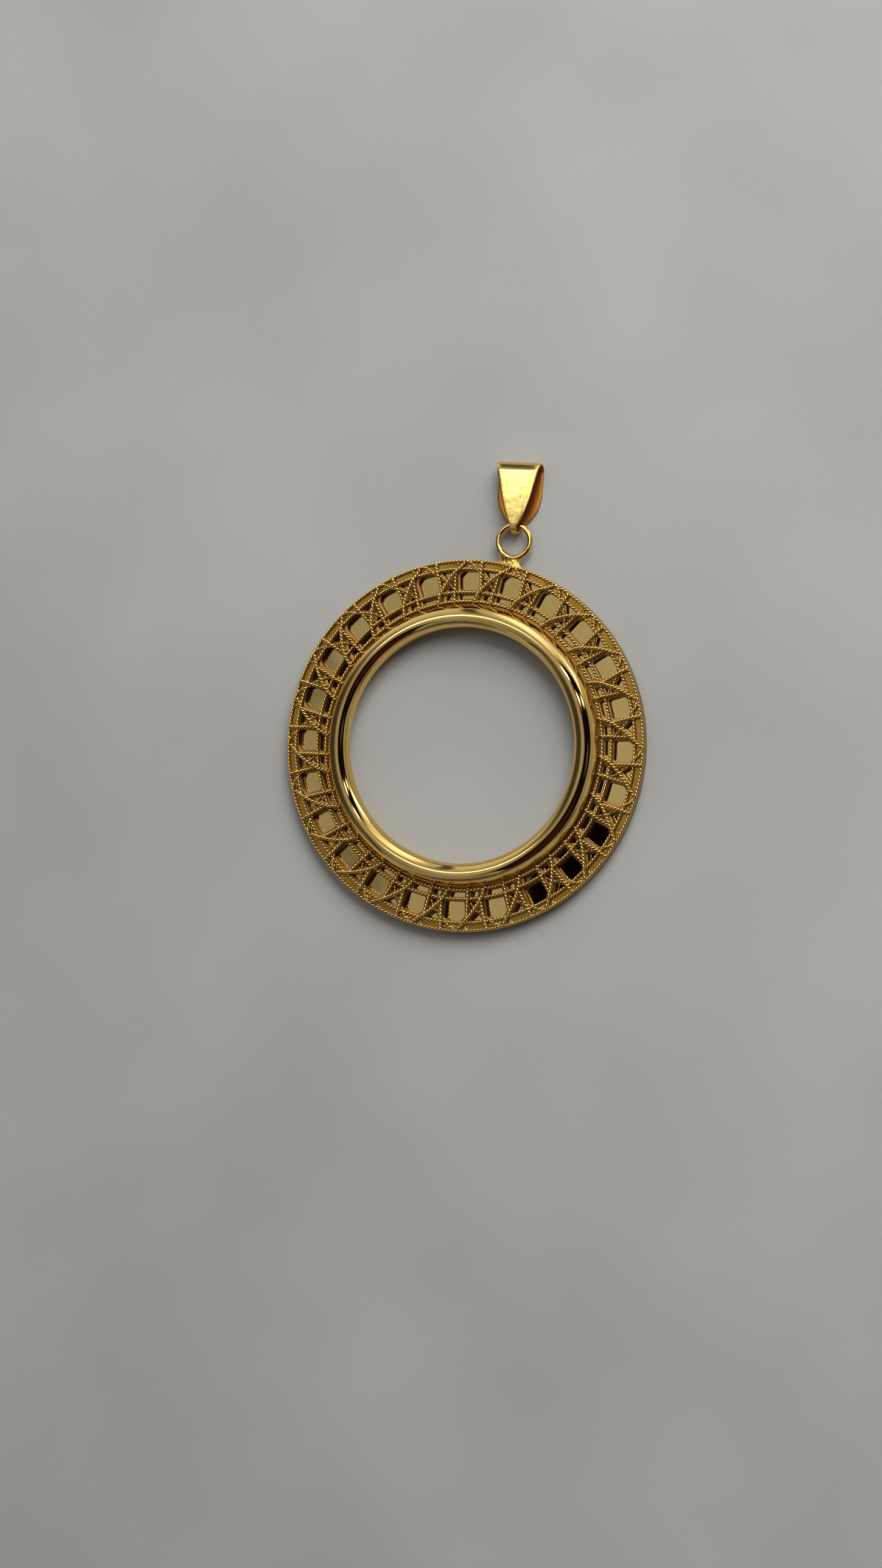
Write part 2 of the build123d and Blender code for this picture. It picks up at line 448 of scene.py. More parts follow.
def all_round(points, faces):
    """Copies one cell's points and faces to every cell by turning them clockwise."""
    turn = PITCH * np.arange(CELLS)
    x = points[:, 0] * np.cos(turn)[:, None] + points[:, 1] * np.sin(turn)[:, None]
    y = points[:, 1] * np.cos(turn)[:, None] - points[:, 0] * np.sin(turn)[:, None]
    z = np.broadcast_to(points[:, 2], x.shape)
    step = (np.arange(CELLS) * len(points))[:, None, None]
    copies = [(group[None] + step).reshape(-1, group.shape[1]) for group in faces]
    return np.stack([x, y, z], axis=-1).reshape(-1, 3), copies


def smooth_path(rows, step):
    """A Catmull-Rom curve through rows of points, sampled at about an even step in mm. Between
    points b and c, with a before and d after them, it is the cubic in t from 0 to 1 that passes
    through b and c and has half of c - a and half of d - b as its slopes there."""
    samples_a_stretch = 12
    rows = np.vstack([2 * rows[0] - rows[1], rows, 2 * rows[-1] - rows[-2]])
    t = np.linspace(0, 1, samples_a_stretch, endpoint=False)[None, :, None]
    a, b, c, d = (rows[i:len(rows) - 3 + i, None, :] for i in range(4))
    curve = 0.5 * (
        2 * b + (c - a) * t
        + (2 * a - 5 * b + 4 * c - d) * t ** 2
        + (3 * b - a - 3 * c + d) * t ** 3
    )
    curve = np.vstack([curve.reshape(-1, rows.shape[1]), rows[-2]])
    return even_steps(curve, step)


def even_steps(path, step):
    """The same path with its points at even distances of about one step."""
    length = np.concatenate([[0], np.cumsum(np.linalg.norm(np.diff(path, axis=0), axis=1))])
    places = np.linspace(0, length[-1], max(3, int(round(length[-1] / step)) + 1))
    return np.stack([np.interp(places, length, path[:, i]) for i in range(path.shape[1])], axis=-1)


def unit(vectors):
    """Vectors of length one."""
    return vectors / np.linalg.norm(vectors, axis=-1, keepdims=True)


def slopes(path, closed):
    """The direction of a path at each of its points."""
    if closed:
        return unit(np.roll(path, -1, axis=0) - np.roll(path, 1, axis=0))
    return unit(np.gradient(path, axis=0))


def strand(middle, closed, radius, outwards, sides=7):
    """A round wire along a middle line: at each point a circle of that radius across the line.
    Outwards is the direction of the circle's first point. The groove value is 0 there and grows to
    1 on the far side, as (1 - cos angle) / 2."""
    along = slopes(middle, closed)
    first = unit(outwards - (outwards * along).sum(-1, keepdims=True) * along)
    second = np.cross(along, first)
    angle = np.linspace(0, 2 * np.pi, sides, endpoint=False)[None, :, None]
    points = middle[:, None] + radius * (
        np.cos(angle) * first[:, None] + np.sin(angle) * second[:, None]
    )
    groove = np.broadcast_to((1 - np.cos(angle[..., 0])) / 2, points.shape[:2])
    faces = [quads(len(middle), sides, closed, True)]
    if not closed:
        ends = np.arange(sides)
        faces.append(np.stack([ends[::-1], ends + (len(middle) - 1) * sides]))
    return points.reshape(-1, 3), faces, groove.ravel()


def joined(parts):
    """Several (points, faces, groove) as one: the faces' numbers move up by the points before."""
    start = 0
    faces = []
    for points, groups, _ in parts:
        faces += [group + start for group in groups]
        start += len(points)
    return np.vstack([p for p, _, _ in parts]), faces, np.concatenate([g for _, _, g in parts])


# A rope's lay is the length of one full twist in mm. Its two strands' distance from the path and
# their radius are shares of the rope's thickness.
ROPE_LAY = 1.15
ROPE_STEP = ROPE_LAY / 10
STRAND_FROM_PATH = 0.22
STRAND_RADIUS = 0.28


def rope(path, wire, closed=False, start_turn=0.0):
    """Two strands wound round a path, half a turn apart. Each strand's middle keeps one distance
    from the path, at an angle that grows by a full turn in every lay."""
    if closed:
        length = np.linalg.norm(np.roll(path, -1, axis=0) - path, axis=1).sum()
        turns = round(length / ROPE_LAY)
        angle = 2 * np.pi * turns * np.arange(len(path)) / len(path)
    else:
        steps = np.linalg.norm(np.diff(path, axis=0), axis=1)
        angle = 2 * np.pi * np.concatenate([[0], np.cumsum(steps)]) / ROPE_LAY
    along = slopes(path, closed)
    side = unit(np.cross(along, [0.0, 0.0, 1.0]))
    up = np.cross(side, along)
    parts = []
    for half_turn in (0, np.pi):
        turn = (angle + half_turn + start_turn)[:, None]
        outwards = np.cos(turn) * side + np.sin(turn) * up
        middle = path + STRAND_FROM_PATH * wire * outwards
        parts.append(strand(middle, closed, STRAND_RADIUS * wire, outwards))
    return joined(parts)


def circle_path(band_share, height, step):
    """A circle round the frame's middle at a share of the band's width."""
    count = int(round(2 * np.pi * (BAND_START + BAND * band_share) / step))
    return place(np.arange(count) * CELLS / count, band_share, height)


def crown_radius(edge, height):
    """The radius of the circle that has its top on the bezel's crown and meets an edge: for a run r
    and a drop d from the crown to the edge it is (r squared + d squared) / 2d."""
    run, drop = edge - CROWN, CROWN_HEIGHT - height
    return (run ** 2 + drop ** 2) / (2 * drop)


def build_bezel(material):
    """The polished ring: a closed profile turned round the opening. From the outside in it has a
    wall, a foot, a flank bulged by a half sine, an arc up to the crown, an arc down to the thin
    lip, and the coin seat behind the lip."""
    lip_height = SEAT_DEPTH + LIP
    outer_radius = crown_radius(BEZEL, EDGE_HEIGHT)
    inner_radius = crown_radius(OPENING, lip_height)
    inner_angle = np.degrees(np.arccos((OPENING - CROWN) / inner_radius))
    outside = arc((CROWN, CROWN_HEIGHT - outer_radius), outer_radius, FLANK_ANGLE, 90, 22)
    inside = arc((CROWN, CROWN_HEIGHT - inner_radius), inner_radius, 90, inner_angle, 60)[1:]
    lip_edge = OPENING - 0.03
    lip = [(lip_edge, lip_height - 0.05), (lip_edge, SEAT_DEPTH + 0.04), (OPENING, SEAT_DEPTH)]
    # The seat's mouth opens towards the back, so a coin finds its way in
    wall = [
        (SEAT, SEAT_DEPTH), (SEAT, SEAT_MOUTH_TOP), (SEAT + SEAT_MOUTH, 0),
        (BEZEL - BEVEL, 0), (BEZEL, BEVEL), (BEZEL, SHEET_TOP),
    ]
    # Steps from the flank's foot: under it, on its edge, and where the flank starts
    foot = np.array(FLANK_FOOT) + [(-0.06, -0.3), (0, -0.1), (-0.03, 0.03)]
    share = np.linspace(0.12, 0.9, 8)[:, None]
    flank = foot[-1] + (outside[0] - foot[-1]) * share
    flank[:, 0] += FLANK_BULGE * np.sin(np.pi * share[:, 0])
    profile = np.vstack([flank, outside, inside[:-1], lip, wall, foot])
    piece = add_piece("bezel", *turned(profile, ROUND_STEPS), material)
    keep_edges(piece)
    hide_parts("coin_frame")
    return piece


def rounded(corners, sizes, points_a_corner=5):
    """An outline through corners, each rounded by a quadratic curve that starts and ends its size
    away from the corner; the straight stretches between get two points more."""
    corners = np.array(corners, float)
    before = unit(np.roll(corners, 1, axis=0) - corners)
    after = unit(np.roll(corners, -1, axis=0) - corners)
    size = np.array(sizes, float)[:, None]
    start, end = corners + before * size, corners + after * size
    t = np.linspace(0, 1, points_a_corner)[None, :, None]
    curve = (
        (1 - t) ** 2 * start[:, None] + 2 * t * (1 - t) * corners[:, None] + t ** 2 * end[:, None]
    )
    next_start = np.roll(start, -1, axis=0)
    third = np.stack([end + (next_start - end) * share for share in (1 / 3, 2 / 3)], axis=1)
    return np.concatenate([curve, third], axis=1).reshape(-1, 2)


# One cell's openings on the flat, x clockwise from the long wire and y outwards, both in mm at the
# middle of the band: corners as (share of the cell, share of the band) and corner sizes in mm
CELL_LENGTH = PITCH * (BAND_START + BAND / 2)
OPENINGS = {
    "window": (
        [(0.490, 0.315), (0.960, 0.315), (0.965, 0.738), (0.590, 0.738), (0.490, 0.640)],
        [0.28, 0.28, 0.5, 0.35, 0.35],
    ),
    "triangle": ([(0.070, 0.738), (0.205, 0.575), (0.355, 0.738)], [0.12, 0.12, 0.12]),
    "long_slot": ([(0.470, 0.115), (0.830, 0.115), (0.865, 0.215), (0.470, 0.215)], [0.12] * 4),
    "short_slot": ([(0.110, 0.115), (0.310, 0.115), (0.310, 0.215), (0.145, 0.215)], [0.12] * 4),
    "side": ([(0.180, 0.325), (0.330, 0.325), (0.350, 0.480)], [0.12, 0.12, 0.12]),
}


def widened(outline, distance):
    """A closed outline moved outwards across its own edges by a distance."""
    edge = unit(np.roll(outline, -1, axis=0) - np.roll(outline, 1, axis=0))
    centre = outline.mean(axis=0)
    across = np.stack([edge[:, 1], -edge[:, 0]], axis=-1)
    away = np.sign(((outline - centre) * across).sum(-1, keepdims=True))
    return outline + away * across * distance


def inside(outline, places):
    """Which places lie inside an outline, by counting the edges to the right of each."""
    x, y = places[:, None, 0], places[:, None, 1]
    (x0, y0), (x1, y1) = outline.T, np.roll(outline, -1, axis=0).T
    crosses = (y0 > y) != (y1 > y)
    meets = x0 + (y - y0) * (x1 - x0) / np.where(y1 == y0, 1, y1 - y0)
    return (crosses & (x < meets)).sum(axis=1) % 2 == 1


def build_lattice(material):
    """The pierced sheet: one cell's flat face is filled with triangles between its border and its
    openings, its openings' walls are rounded over at the top, and all is turned to 24 cells."""
    outlines = [
        rounded(np.array(corners) * [CELL_LENGTH, BAND], sizes)
        for corners, sizes in OPENINGS.values()
    ]
    under_bezel = 0.1
    border_y = np.linspace((BEZEL - under_bezel - BAND_START) / BAND, SHEET_END, 12) * BAND
    border_x = np.linspace(0, CELL_LENGTH, 16)[1:-1]
    border = np.vstack([
        np.stack([0 * border_y, border_y], -1),
        np.stack([border_x, 0 * border_x + border_y[-1]], -1),
        np.stack([CELL_LENGTH + 0 * border_y, border_y[::-1]], -1),
        np.stack([border_x[::-1], 0 * border_x + border_y[0]], -1),
    ])
    # A wall's round edge at the top, as rows of (down from the sheet's top, out from the wall)
    round_over = 0.06
    levels = ((0.0, round_over), (round_over * 0.35, round_over * 0.35), (round_over, 0.0))
    loops = [border] + [widened(outline, round_over) for outline in outlines]
    flat = np.vstack(loops)
    starts = np.cumsum([0] + [len(loop) for loop in loops])
    edges = [
        (start + i, start + (i + 1) % len(loop))
        for start, loop in zip(starts, loops)
        for i in range(len(loop))
    ]
    # Kind 1 keeps the triangles inside the border; points nearer than the last value are one
    found = delaunay_2d_cdt([tuple(p) for p in flat.tolist()], edges, [], 1, 1e-7)
    flat = np.array([tuple(p) for p in found[0]])
    triangles = np.array(found[2])
    middles = flat[triangles].mean(axis=1)
    hidden = np.zeros(len(middles), bool)
    for loop in loops[1:]:
        hidden |= inside(loop, middles)
    triangles = triangles[~hidden]

    def in_band(places, height):
        return place(places[:, 0] / CELL_LENGTH, places[:, 1] / BAND, height)

    parts = [
        (in_band(flat, SHEET_TOP), [triangles]),
        (in_band(flat, SHEET_BOTTOM), [triangles[:, ::-1]]),
    ]
    for outline in outlines:
        rings = [in_band(widened(outline, out), SHEET_TOP - down) for down, out in levels]
        rings.append(in_band(outline, SHEET_BOTTOM + round_over))
        rings.append(in_band(widened(outline, round_over), SHEET_BOTTOM))
        parts.append((np.vstack(rings), [quads(len(rings), len(outline), False, True)]))
    points, faces, _ = joined([(p, f, np.zeros(len(p))) for p, f in parts])
    points, faces = all_round(points, faces)
    piece = add_piece("lattice_sheet", points, faces, material)
    weld(piece, 0.002)
    keep_edges(piece, 50)
    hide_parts("coin_frame")
    return piece


def weld(piece, distance_mm):
    """Points that lie on each other become one, and the faces are turned outwards again."""
    work = bmesh.new()
    work.from_mesh(piece.data)
    bmesh.ops.remove_doubles(work, verts=work.verts, dist=distance_mm * MM)
    bmesh.ops.recalc_face_normals(work, faces=work.faces)
    work.to_mesh(piece.data)
    work.free()


def build_rim(material):
    """The channel's floor and the outer wall: an L-shaped profile turned round the band."""
    inner = BAND_START + BAND * CHANNEL_START
    outer = RIM - RIM_SETBACK
    bed_end, floor_start = inner + 0.18, inner + 0.24
    floor_end, wall_start = outer - 0.42, outer - 0.34
    profile = np.array([
        (inner, ROPE_BED), (bed_end, ROPE_BED), (floor_start, CHANNEL_FLOOR),
        (floor_end, CHANNEL_FLOOR), (wall_start, RIM_HEIGHT - 0.03),
        (outer - BEVEL, RIM_HEIGHT), (outer, RIM_HEIGHT - BEVEL),
        (outer, BEVEL), (outer - BEVEL, 0),
        (RIM - RIM_WALL, 0), (RIM - RIM_WALL, SHEET_BOTTOM), (inner, SHEET_BOTTOM),
    ])
    piece = add_piece("rim_channel", *turned(profile, ROUND_STEPS), material)
    keep_edges(piece)
    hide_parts("coin_frame")
    return piece


# The rope circles: share of the band, height of the middle and thickness in mm
CIRCLES = {
    "bezel_rope": (0.060, 1.90, 0.56),
    "slot_rope": (0.258, 1.93, 0.54),
    "window_rope": (0.778, 1.95, 0.55),
    "rim_rope": (0.956, 1.82, 0.52),
}


def build_beds(material):
    """The narrow walls that carry the two inner rope circles: rectangles with a rounded top,
    turned round the band."""
    half, bevel, foot = BED_HALF_WIDTH, 0.05, SHEET_TOP - 0.1
    parts = []
    for name in ("bezel_rope", "slot_rope"):
        radius = BAND_START + BAND * CIRCLES[name][0]
        profile = np.array([
            (radius - half, foot), (radius - half, ROPE_BED - bevel),
            (radius - half + bevel, ROPE_BED), (radius + half - bevel, ROPE_BED),
            (radius + half, ROPE_BED - bevel), (radius + half, foot),
        ])
        points, faces = turned(profile, BED_STEPS)
        parts.append((points, faces, np.zeros(len(points))))
    points, faces, _ = joined(parts)
    piece = add_piece("rope_beds", points, faces, material)
    keep_edges(piece)
    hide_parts("coin_frame")


# The wires of one cell, as rows of (share of the cell, share of the band, height in mm)
LONG_WIRE = np.array([
    (0.070, 0.270, 1.95), (0.052, 0.330, 2.12), (0.030, 0.500, 2.20), (0.010, 0.700, 2.26),
    (0.002, 0.785, 2.32), (-0.006, 0.870, 2.16), (-0.015, 0.965, 2.02),
])
SHORT_WIRE = np.array([
    (0.358, 0.010, 2.00), (0.362, 0.062, 2.22), (0.368, 0.160, 2.16), (0.376, 0.265, 2.28),
    (0.392, 0.400, 2.16), (0.410, 0.600, 2.16), (0.425, 0.740, 2.12),
])
SLANTING_WIRE = np.array([
    (-0.112, 0.005, 2.05), (-0.085, 0.062, 2.30), (-0.045, 0.150, 2.34), (0.020, 0.265, 2.46),
    (0.125, 0.390, 2.50), (0.280, 0.565, 2.56), (0.410, 0.700, 2.52), (0.470, 0.765, 2.40),
    (0.545, 0.830, 2.14), (0.625, 0.920, 2.00),
])
RETURN_WIRE = np.array([
    (0.650, 0.945, 1.98), (0.730, 0.930, 1.96), (0.800, 0.875, 1.96), (0.855, 0.815, 2.10),
    (0.905, 0.760, 1.98), (0.985, 0.700, 1.72), (1.060, 0.645, 1.62), (1.160, 0.560, 1.60),
    (1.250, 0.455, 1.60), (1.340, 0.330, 1.62),
])
BRIDGE_WIRE = np.array([
    (0.035, 0.550, 1.70), (0.110, 0.562, 1.82), (0.200, 0.545, 1.80), (0.260, 0.520, 1.68),
])
LOW_WIRE = np.array([
    (0.075, 0.650, 1.62), (0.090, 0.560, 1.60), (0.098, 0.450, 1.60), (0.110, 0.340, 1.62),
])


def build_circles(material):
    """Four rope circles, each in its own piece."""
    for name, (share, height, wire) in CIRCLES.items():
        path = circle_path(share, height, ROPE_STEP)
        points, faces, groove = rope(path, wire, closed=True)
        piece = add_piece(name, points, faces, material, groove=groove)
        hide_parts("coin_frame")


def build_cell_wires(material):
    """The ropes of one cell along smooth curves through their rows, turned to all the cells."""
    kinds = {
        "long_wires": [(LONG_WIRE, 0.60)],
        "short_wires": [(SHORT_WIRE, 0.56)],
        "slanting_wires": [(SLANTING_WIRE, 0.58)],
        "return_wires": [(RETURN_WIRE, 0.46), (BRIDGE_WIRE, 0.34), (LOW_WIRE, 0.4)],
    }
    for name, wires in kinds.items():
        parts = []
        for rows, wire in wires:
            path = smooth_path(place(*rows.T), ROPE_STEP)
            parts.append(rope(path, wire, start_turn=1.0))
        points, faces, groove = joined(parts)
        points, faces = all_round(points, faces)
        piece = add_piece(name, points, faces, material, groove=np.tile(groove, CELLS))
        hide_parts("coin_frame")


# Single strands: rows of (share of the cell, share of the band, height in mm), and their radius
SCROLLS = (
    (np.array([(0.415, 0.895, 1.66), (0.435, 0.925, 1.78), (0.462, 0.915, 1.80),
               (0.468, 0.875, 1.76), (0.445, 0.860, 1.66)]), 0.085),
    (np.array([(0.700, 0.900, 1.72), (0.745, 0.880, 1.84), (0.800, 0.835, 1.80)]), 0.10),
    (np.array([(0.655, 0.880, 1.72), (0.700, 0.850, 1.84), (0.760, 0.828, 1.78)]), 0.09),
    (np.array([(0.905, 0.905, 1.66), (0.930, 0.880, 1.80), (0.950, 0.845, 1.72)]), 0.09),
)


def build_scrolls(material):
    """The small curled wires in the channel: round strands along short curves."""
    scroll_step = 0.08
    parts = []
    for rows, radius in SCROLLS:
        path = smooth_path(place(*rows.T), scroll_step)
        up = np.broadcast_to([0.0, 0.0, 1.0], path.shape)
        points, faces, _ = strand(path, False, radius, up, sides=8)
        parts.append((points, faces, np.zeros(len(points))))
    points, faces, groove = joined(parts)
    points, faces = all_round(points, faces)
    piece = add_piece("scroll_wires", points, faces, material, groove=np.tile(groove, CELLS))
    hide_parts("coin_frame")


def build_ring(material):
    """The jump ring: a round wire along a circle about the ring's middle, that is x = r sin t and
    y = r cos t from there."""
    turn = np.linspace(0, 2 * np.pi, 120, endpoint=False)
    middle = np.stack([RING * np.sin(turn), RING_Y + RING * np.cos(turn), WIRE_Z + 0 * turn], -1)
    outwards = np.stack([np.sin(turn), np.cos(turn), 0 * turn], -1)
    points, faces, _ = strand(middle, True, RING_WIRE / 2, outwards, sides=28)
    piece = add_piece("jump_ring", points, faces, material)
    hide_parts("coin_frame")


def blob(centre, size, lumps, start):
    """A lumpy ball: a sphere's radius times 1 plus a share of three slow waves over its surface,
    whose first phase is the start."""
    tilt = np.linspace(0, np.pi, 26)[1:-1, None]
    turn = np.linspace(0, 2 * np.pi, 40, endpoint=False)[None]
    wave = 1 + lumps * (
        np.sin(3 * turn + start) * np.sin(2 * tilt)
        + 0.6 * np.sin(5 * turn + 2 * start) * np.sin(tilt) ** 2
        + 0.5 * np.cos(4 * tilt + start)
    )
    ball = np.stack([
        np.sin(tilt) * np.cos(turn), np.sin(tilt) * np.sin(turn), np.cos(tilt) + 0 * turn
    ], axis=-1) * wave[..., None]
    points = np.vstack([ball.reshape(-1, 3), [(0, 0, 1)], [(0, 0, -1)]]) * size + centre
    rows, columns = ball.shape[:2]
    top, bottom = rows * columns, rows * columns + 1
    ring = np.arange(columns)
    last = ring + (rows - 1) * columns
    caps = [
        np.stack([np.full(columns, top), ring, np.roll(ring, -1)], -1),
        np.stack([np.full(columns, bottom), np.roll(last, -1), last], -1),
    ]
    return points, [quads(rows, columns, False, True)] + caps, np.zeros(len(points))


# Drops of solder on the jump ring: degrees round the ring from +X, half sizes in mm, and the
# start of the lumps
DROPS = (
    (-112, (0.62, 0.46, 0.45), 0.7),
    (-138, (0.5, 0.5, 0.44), 2.1),
    (-84, (0.6, 0.42, 0.44), 3.3),
)

# The web of solder under the ring, in mm and degrees: its middle and half length on the rim and on
# the ring, how deep it starts inside the rim's edge, its half height, and how far its outline and
# its height are drawn in at mid length
WEB_ON_RIM = (0.4, 2.75)
WEB_ON_RING = (-91, 31)
WEB_DEPTH = 0.4
WEB_HALF_HEIGHT = 0.46
WEB_WAIST = 0.42
WEB_HEIGHT_WAIST = 0.1


def build_solder(material):
    """The solder that holds the jump ring: a web from the rim's edge to the ring's lower side,
    and drops. Across the web s is the cosine of an angle and runs from -1 to 1, along it u runs
    from 0 to 1. Its outline is the straight mix of a curve on the rim and one on the ring, drawn in
    by a share of 4u(1 - u). Its height is a half height times the sine of that angle."""
    along = np.linspace(0, 1, 19)[:, None]
    angle = np.linspace(0, 2 * np.pi, 44, endpoint=False)[None]
    across = np.cos(angle)
    rim_x = WEB_ON_RIM[0] + WEB_ON_RIM[1] * across
    rim_y = np.sqrt((RIM - WEB_DEPTH) ** 2 - rim_x ** 2)
    ring_turn = np.radians(WEB_ON_RING[0] + WEB_ON_RING[1] * across)
    ring_x = RING * np.cos(ring_turn)
    ring_y = RING_Y + RING * np.sin(ring_turn)
    bow = 4 * along * (1 - along)
    waist = WEB_WAIST * bow * (across - 0.1) * (1 + 0.3 * across)
    x = rim_x * (1 - along) + ring_x * along - waist
    y = rim_y * (1 - along) + ring_y * along
    lumps = 1 + 0.07 * np.sin(5 * angle + 6 * along) + 0.05 * np.sin(11 * angle - 9 * along)
    half = (WEB_HALF_HEIGHT - WEB_HEIGHT_WAIST * bow) * lumps
    z = WIRE_Z + half * np.sin(angle)
    points = np.stack([x, y, z], axis=-1).reshape(-1, 3)
    rows, columns = x.shape
    ends = np.arange(columns)
    caps = np.stack([ends[::-1], ends + (rows - 1) * columns])
    web = (points, [quads(rows, columns, False, True), caps], np.zeros(len(points)))
    drops = []
    for degrees, size, start in DROPS:
        turn = np.radians(degrees)
        centre = np.array([RING * np.cos(turn), RING_Y + RING * np.sin(turn), WIRE_Z])
        drops.append(blob(centre, np.array(size), 0.08, start))
    points, faces, _ = joined([web] + drops)
    piece = add_piece("ring_solder", points, faces, material)
    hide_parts("coin_frame")


# Half the bail's width down each leg: (share of the height above the ring's wire, share of the
# half width at the top)
FRONT_EDGE = np.array([
    (1.0, 1.0), (0.9, 0.93), (0.43, 0.65), (0.19, 0.435), (0.07, 0.29), (0.0, 0.18)
])
BACK_EDGE = np.array([(1.0, 1.0), (0.46, 1.0), (0.28, 0.9), (0.14, 0.68), (0.0, 0.33)])


def build_bail(material):
    """The bail: a flat strip carried round a loop in the YZ plane, with its own half width at each
    place. The section is a rectangle with round edges, a superellipse. The finished strip is turned
    about the jump ring's middle, where y starts."""
    top_y = RING + BAIL_HEIGHT - BAIL_TOP
    top = arc((top_y, WIRE_Z), BAIL_TOP - BAIL_STRIP / 2, 90, -90, 29)
    fold = arc((RING, WIRE_Z), BAIL_FOLD - BAIL_STRIP / 2, -90, -270, 29)
    legs = np.linspace(0, 1, 42)[1:-1, None]
    back_leg = top[-1] + (fold[0] - top[-1]) * legs
    front_leg = fold[-1] + (top[0] - fold[-1]) * legs
    path = np.vstack([top, back_leg, fold, front_leg])
    share = (path[:, 0] - RING) / BAIL_HEIGHT
    tip = -BAIL_FOLD / BAIL_HEIGHT
    tip_row = [(tip, BAIL_TIP_HALF_WIDTH / BAIL_HALF_WIDTH)]
    front, back = (np.vstack([edge, tip_row])[::-1] for edge in (FRONT_EDGE, BACK_EDGE))
    front_width = np.interp(share, front[:, 0], front[:, 1])
    back_width = np.interp(share, back[:, 0], back[:, 1])
    width = np.where(path[:, 1] >= WIRE_Z, front_width, back_width)
    # A mean over five places rounds the corners of the widths
    weights = np.array([1, 2, 3, 2, 1]) / 9
    width = BAIL_HALF_WIDTH * np.convolve(np.r_[width[-2:], width, width[:2]], weights, "valid")
    along = slopes(path, True)
    across = np.stack([along[:, 1], -along[:, 0]], axis=-1)
    angle = np.linspace(0, 2 * np.pi, 36, endpoint=False)
    power = 2 / BAIL_EDGE_POWER
    flat = np.sign(np.cos(angle)) * np.abs(np.cos(angle)) ** power
    thick = np.sign(np.sin(angle)) * np.abs(np.sin(angle)) ** power * BAIL_STRIP / 2
    x = width[:, None] * flat
    yz = path[:, None] + thick[None, :, None] * across[:, None]
    y, z = yz[..., 0], yz[..., 1]
    turned_x = x * np.cos(BAIL_TURN) - y * np.sin(BAIL_TURN)
    turned_y = x * np.sin(BAIL_TURN) + y * np.cos(BAIL_TURN) + RING_Y
    points = np.stack([turned_x, turned_y, z], axis=-1).reshape(-1, 3)
    faces = [quads(len(path), len(angle), True, True)]
    # The strip's thickness is measured towards the inside of the loop; the bail's material uses it
    # to paint the inner face darker, as painted shade
    inner = np.broadcast_to(0.5 + thick / BAIL_STRIP, x.shape).ravel()
    piece = add_piece(
        "folded_bail", points, faces, material, body="bail", slot="bail_gold", groove=inner
    )
    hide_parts("bail")


def build_floor(material):
    """A flat pale floor under the pendant."""
    half = 900.0
    points = np.array([(-half, -half, 0), (half, -half, 0), (half, half, 0), (-half, half, 0)])
    floor = add_piece("floor", points, [np.array([[0, 1, 2, 3]])], material, body=None)


# The photo's view, from a fit of the wire circles and the cells' wires to the picture. The picture
# is 1449 x 2576 pixels; angles are in degrees, and the distance and the shifts in rim radii
PICTURE_HEIGHT = 2576
FOCAL_PIXELS = 4000
RING_DIRECTION = 14.9
VIEW_TILT = 17.61
VIEW_SIDE = -5.84
VIEW_DISTANCE = 13.019
VIEW_SHIFT = (0.1116, 0.2053)


def add_camera():
    """A camera that looks down at the pendant as the photo does: its axis is tilted from the
    frame's normal towards the picture's right, and the ring points up and a little right."""
    tilt, side = np.radians(VIEW_TILT), np.radians(VIEW_SIDE)
    back = np.array([np.sin(tilt) * np.cos(side), np.sin(tilt) * np.sin(side), np.cos(tilt)])
    right = unit(np.cross([0.0, 1.0, 0.0], back))
    up = np.cross(back, right)
    ring = np.radians(RING_DIRECTION)
    to_frame = np.array([
        [np.cos(ring), -np.sin(ring), 0], [np.sin(ring), np.cos(ring), 0], [0, 0, 1]
    ])
    eye = VIEW_DISTANCE * back - VIEW_SHIFT[0] * right - VIEW_SHIFT[1] * up
    eye = to_frame @ eye * RIM + [0, 0, RIM_HEIGHT]
    axes = to_frame @ np.stack([right, up, back], axis=-1)
    data = bpy.data.cameras.new("camera")
    data.lens = FOCAL_PIXELS / PICTURE_HEIGHT * data.sensor_width
    data.clip_start = 5 * MM
    camera = bpy.data.objects.new("camera", data)
    camera.matrix_world = Matrix.Translation(eye * MM) @ Matrix(axes.tolist()).to_4x4()
    bpy.context.scene.collection.objects.link(camera)
    bpy.context.scene.camera = camera
    return to_frame


